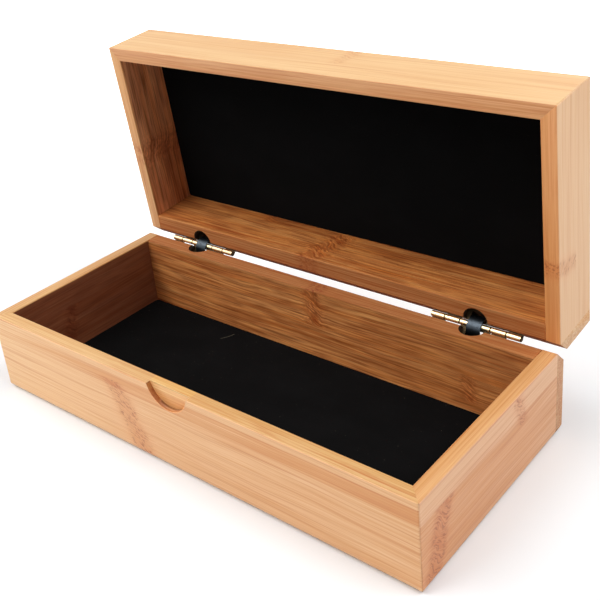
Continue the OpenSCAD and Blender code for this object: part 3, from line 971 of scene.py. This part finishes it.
# Seams are heights in mm, and tones are how warm each strip is, from the lowest up. Each bamboo node is its
# place along the grain, lowest, highest, half width, strength and lean (mm along per mm up). Colours multiply
# the wood's own, and were set so that each face looks as it does in the photograph, shade included.
BOARDS = {
    "base_front_board": {
        "side": "front", "shift": 3.0,
        "seams": [14.0, 42.5, 51.5], "tones": [0.12, -0.02, 0.58, -0.40], "slope": 0.0022, "contrast": 1.0,
        "nodes": [(-36.4, 2.0, 46.0, 8.5, 1.2, -0.42)],
        "tint": (1.05, 1.01, 0.93), "left_end_light": (1.05, 1.10, 1.11), "rim": (0.69, 0.70, 0.61),
        "inner": (0.75, 0.49, 0.30)},
    "base_back_board": {
        "side": "back", "shift": 41.0,
        "seams": [14.0, 35.0], "tones": [0.45, 0.50, 0.42], "contrast": 1.2,
        "nodes": [(0.3, 30.0, 56.0, 7.0, 1.1, 0.0), (115.4, 12.0, 30.0, 5.0, 0.8, 0.0)],
        "tint": (0.92, 0.84, 0.76), "rim": (0.56, 0.42, 0.28), "inner": (0.93, 0.75, 0.53),
        "end": (0.88, 0.91, 0.99)},
    "base_right_board": {
        "side": "right", "shift": 83.0,
        "seams": [41.5], "tones": [0.60, -0.10], "slope": -0.0010, "contrast": 0.8,
        "nodes": [(-60.5, -1.0, 41.5, 7.0, 1.6, 0.30), (23.4, 36.0, 54.0, 5.0, 0.9, -0.3)],
        "tint": (0.98, 0.93, 0.96), "rim": (0.75, 0.69, 0.53), "inner": END_INNER},
    "base_left_board": {
        "side": "left", "shift": 127.0,
        "seams": [14.0, 38.0], "tones": [0.4, 0.5, 0.3], "contrast": 0.9, "sawn": 0.6,
        "nodes": [(-24.0, 14.0, 38.0, 5.0, 0.9, 0.2)],
        "tint": (1.0, 0.97, 0.96), "rim": (0.72, 0.735, 0.58), "inner": (0.27, 0.165, 0.15)},
    "lid_front_board": {
        "side": "front", "shift": 171.0,
        "seams": [74.0], "tones": [0.18, 0.26], "contrast": 0.75,
        "nodes": [(19.0, 74.0, 96.0, 5.0, 0.6, 0.1)],
        "tint": (0.77, 0.80, 0.68), "rim": (1.18, 0.93, 0.89), "inner": (0.62, 0.40, 0.24)},
    "lid_back_board": {
        "side": "back", "shift": 211.0,
        "seams": [70.0, 84.0], "tones": [0.42, 0.35, 0.45], "contrast": 1.2,
        "nodes": [(-8.3, 56.0, 90.0, 8.0, 1.2, 0.3), (-70.0, 84.0, 96.0, 6.0, 0.6, 0.0)],
        "tint": (0.92, 0.84, 0.76), "rim": (0.74, 0.58, 0.40), "inner": (0.79, 0.59, 0.37),
        "end": (1.01, 1.23, 1.46)},
    "lid_right_board": {
        "side": "right", "shift": 257.0,
        "seams": [80.0], "tones": [0.22, 0.30], "contrast": 0.5,
        "nodes": [(20.5, 54.0, 76.0, 5.0, 0.9, 0.2)],
        "tint": (0.99, 1.02, 1.04), "rim": (1.02, 0.74, 0.50), "inner": LID_END_INNER},
    "lid_left_board": {
        "side": "left", "shift": 307.0,
        "seams": [74.0], "tones": [0.35, 0.45], "contrast": 0.9,
        "nodes": [(5.9, 56.0, 96.0, 8.5, 0.85, 0.0)],
        "tint": (1.0, 1.0, 1.0), "rim": (1.0, 0.96, 0.80), "inner": LID_END_INNER},
    "base_bottom_panel": {
        "side": "bottom", "shift": 353.0, "contrast": 1.0,
        "seams": [-52.0, -31.0, -10.0, 11.0, 32.0, 53.0],
        "tones": [0.3, 0.45, 0.25, 0.5, 0.35, 0.2, 0.4],
        "nodes": [(-90.0, -52.0, -31.0, 5.0, 0.8, 0.0), (40.0, -10.0, 11.0, 5.0, 0.8, 0.0),
                  (110.0, 32.0, 53.0, 5.0, 0.8, 0.0)],
        "tint": (1.0, 0.98, 0.95)},
    "lid_top_panel": {
        "side": "top", "shift": 401.0, "contrast": 0.8,
        "seams": [-50.0, -30.0, -10.0, 10.0, 30.0, 50.0],
        "tones": [0.2, 0.4, 0.3, 0.15, 0.45, 0.25, 0.35],
        "nodes": [(-120.0, -30.0, -10.0, 5.0, 0.9, 0.1), (-20.0, 10.0, 30.0, 5.0, 0.9, 0.0),
                  (75.0, -50.0, -30.0, 5.0, 0.9, -0.1), (120.0, 30.0, 50.0, 5.0, 0.8, 0.0)],
        "tint": (1.0, 1.0, 1.0)},
}


def make_board(node):
    piece = eased_board(node, bamboo(node, BOARDS[node]))
    seat(piece, "lid" if node.startswith("lid") else "base", node)


class WINEBOX_OT_tray_boards(bpy.types.Operator):
    """Makes the four boards and the bottom panel of the tray"""
    bl_idname = "winebox.tray_boards"
    bl_label = "Tray boards"

    def execute(self, context):
        for node in BOARDS:
            if node.startswith("base"):
                make_board(node)
        return {"FINISHED"}


class WINEBOX_OT_lid_boards(bpy.types.Operator):
    """Makes the four boards and the top panel of the lid"""
    bl_idname = "winebox.lid_boards"
    bl_label = "Lid boards"

    def execute(self, context):
        for node in BOARDS:
            if node.startswith("lid"):
                make_board(node)
        return {"FINISHED"}


class WINEBOX_OT_linings(bpy.types.Operator):
    """Makes the velvet-covered cards in the tray and the lid"""
    bl_idname = "winebox.linings"
    bl_label = "Velvet linings"

    def execute(self, context):
        lining("base_lining", "velvet_tray", velvet("Velvet tray", False, (-69.6, 42.9, 5.5)), 5)
        lining("lid_lining", "velvet_lid", velvet("Velvet lid", True, None), 11)
        return {"FINISHED"}


class WINEBOX_OT_hinge_leaves(bpy.types.Operator):
    """Makes the brass leaves with their rolled knuckles, and the pins"""
    bl_idname = "winebox.hinge_leaves"
    bl_label = "Hinge leaves and pins"

    def execute(self, context):
        brass = metal(
            "Brass", context.scene.wine_box_colours.brass, (0.05, 0.03, 0.015, 1.0), 0.25, 0.27, True)
        for side in ("left", "right"):
            for half in ("lower", "upper"):
                hinge_leaf(side, half, brass)
            hinge_pin(side, brass)
        return {"FINISHED"}


class WINEBOX_OT_hinge_springs(bpy.types.Operator):
    """Makes the bent spring straps over the middle knuckles"""
    bl_idname = "winebox.hinge_springs"
    bl_label = "Hinge springs"

    def execute(self, context):
        steel = metal(
            "Spring steel", context.scene.wine_box_colours.steel, (0.02, 0.02, 0.022, 1.0), 0.6, 0.38, False)
        tree = strap_tree()
        for side in ("left", "right"):
            hinge_spring(side, steel, tree)
        return {"FINISHED"}


# ---- Stage ----

CAMERA_AT = (0.351768, -0.352973, 0.351818)
CAMERA_AZIMUTH = math.radians(41.9705)
CAMERA_ELEVATION = math.radians(24.4444)
CAMERA_ROLL = math.radians(-6.0486)
FOCAL_PIXELS = 942.719
PICTURE_PIXELS = 600
PICTURE_CENTRE = (285, 222)

FLOOR_REACH = 4.0
FLOOR_COLOUR = (0.775, 0.795, 0.815, 1.0)
AMBIENT_STRENGTH = 0.08
LAMP_SIZE = 1.0
# Soft boxes round the object: name, place and power in watts
LAMPS = (
    ("Key softbox", (-0.55, -0.90, 1.35), 17.5),
    ("Left softbox", (-1.40, -0.20, 0.70), 11.0),
    ("Right softbox", (0.90, 0.20, 1.30), 17.0),
    ("Top softbox", (0.10, 0.10, 1.70), 4.5),
    ("Rear softbox", (0.00, 1.50, 0.60), 4.0),
)


class WINEBOX_OT_stage(bpy.types.Operator):
    """Makes the floor, the studio light and the camera"""
    bl_idname = "winebox.stage"
    bl_label = "Stage and camera"

    def execute(self, context):
        scene = context.scene
        make_floor()
        make_lights(scene)
        make_camera(scene)
        scene.view_settings.view_transform = "Standard"
        return {"FINISHED"}


def make_floor():
    mesh = bpy.data.meshes.new("floor")
    corners = [(-1, -1), (1, -1), (1, 1), (-1, 1)]
    mesh.from_pydata([(x * FLOOR_REACH, y * FLOOR_REACH, 0) for x, y in corners], [], [(0, 1, 2, 3)])
    shader = Shader("Studio floor")
    tree = shader.tree
    seen = shader.node("ShaderNodeLightPath", output="Is Camera Ray")
    place = shader.node("ShaderNodeTexCoord", output="Object")
    away = shader.node("ShaderNodeVectorMath", {"operation": "LENGTH"}, {"Vector": place}, output="Value")
    y = shader.node("ShaderNodeSeparateXYZ", None, {"Vector": place}, output="Y")
    glare = away.ramp(0.30, 0.75, 0.06, 1.0) + y.ramp(0.07, 0.16, 0.0, 0.20)
    paper = add_node(tree, "ShaderNodeBsdfDiffuse", None, {"Color": FLOOR_COLOUR})
    glow = add_node(tree, "ShaderNodeEmission", None, {"Color": WHITE, "Strength": (seen * glare).socket})
    both = add_node(tree, "ShaderNodeAddShader", None, {0: paper.outputs[0], 1: glow.outputs[0]})
    add_node(tree, "ShaderNodeOutputMaterial", None, {"Surface": both.outputs[0]})
    add_object("floor", mesh, shader.material)


def make_lights(scene):
    world = bpy.data.worlds.new("Studio")
    scene.world = world
    world.use_nodes = True
    tree = world.node_tree
    tree.nodes.clear()
    path = add_node(tree, "ShaderNodeLightPath")
    seen = add_node(tree, "ShaderNodeMath", {"operation": "MAXIMUM"}, {
        0: path.outputs["Is Camera Ray"], 1: path.outputs["Is Glossy Ray"]})
    ambient, backdrop = (
        add_node(tree, "ShaderNodeBackground", None, {"Color": WHITE, "Strength": strength})
        for strength in (AMBIENT_STRENGTH, 1.0))
    mix = add_node(tree, "ShaderNodeMixShader", None, {
        0: seen.outputs[0], 1: ambient.outputs[0], 2: backdrop.outputs[0]})
    add_node(tree, "ShaderNodeOutputWorld", None, {"Surface": mix.outputs[0]})
    aim = Vector((0, 0, 0.08))
    for name, place, watts in LAMPS:
        light = bpy.data.lights.new(name, "AREA")
        light.size = LAMP_SIZE
        light.energy = watts
        lamp = bpy.data.objects.new(name, light)
        lamp.location = place
        lamp.rotation_euler = (aim - Vector(place)).to_track_quat("-Z", "Y").to_euler()
        scene.collection.objects.link(lamp)


def make_camera(scene):
    """Stands the camera where the photograph was taken from."""
    azimuth, elevation, roll = CAMERA_AZIMUTH, CAMERA_ELEVATION, CAMERA_ROLL
    level_reach = math.cos(elevation)
    back = Vector((
        math.sin(azimuth) * level_reach, -math.cos(azimuth) * level_reach, math.sin(elevation)))
    level = (-back).cross(Vector((0, 0, 1))).normalized()
    upright = level.cross(-back)
    right = level * math.cos(roll) + upright * math.sin(roll)
    up = upright * math.cos(roll) - level * math.sin(roll)
    data = bpy.data.cameras.new("Camera")
    data.sensor_width = 36.0
    data.lens = FOCAL_PIXELS * data.sensor_width / PICTURE_PIXELS
    data.shift_x = (PICTURE_PIXELS / 2 - PICTURE_CENTRE[0]) / PICTURE_PIXELS
    data.shift_y = (PICTURE_CENTRE[1] - PICTURE_PIXELS / 2) / PICTURE_PIXELS
    data.clip_start = 0.01
    camera = bpy.data.objects.new("Camera", data)
    camera.matrix_world = Matrix.Translation(CAMERA_AT) @ Matrix((right, up, back)).transposed().to_4x4()
    scene.collection.objects.link(camera)
    scene.camera = camera


class WINEBOX_PT_panel(bpy.types.Panel):
    """Lists the wine box's sizes, colours and steps"""
    bl_idname = "WINEBOX_PT_panel"
    bl_label = "Wine box"
    bl_space_type = "VIEW_3D"
    bl_region_type = "UI"
    bl_category = "Wine box"

    def draw(self, context):
        layout = self.layout
        for group in (context.scene.wine_box_sizes, context.scene.wine_box_colours):
            for key in group.__annotations__:
                layout.prop(group, key)
        for operator in OPERATORS:
            layout.operator(operator.bl_idname)


GROUPS = {"wine_box_sizes": WineBoxSizes, "wine_box_colours": WineBoxColours}
OPERATORS = (
    WINEBOX_OT_stage,
    WINEBOX_OT_tray_boards,
    WINEBOX_OT_lid_boards,
    WINEBOX_OT_linings,
    WINEBOX_OT_hinge_leaves,
    WINEBOX_OT_hinge_springs,
)
CLASSES = (*GROUPS.values(), *OPERATORS, WINEBOX_PT_panel)


def register():
    for cls in CLASSES:
        bpy.utils.register_class(cls)
    for key, group in GROUPS.items():
        setattr(bpy.types.Scene, key, bpy.props.PointerProperty(type=group))


def unregister():
    for key in GROUPS:
        delattr(bpy.types.Scene, key)
    for cls in reversed(CLASSES):
        bpy.utils.unregister_class(cls)


def main():
    register()
    bpy.ops.winebox.stage()
    bpy.ops.winebox.tray_boards()
    bpy.ops.winebox.lid_boards()
    bpy.ops.winebox.linings()
    bpy.ops.winebox.hinge_leaves()
    bpy.ops.winebox.hinge_springs()


if __name__ == "__main__":
    main()
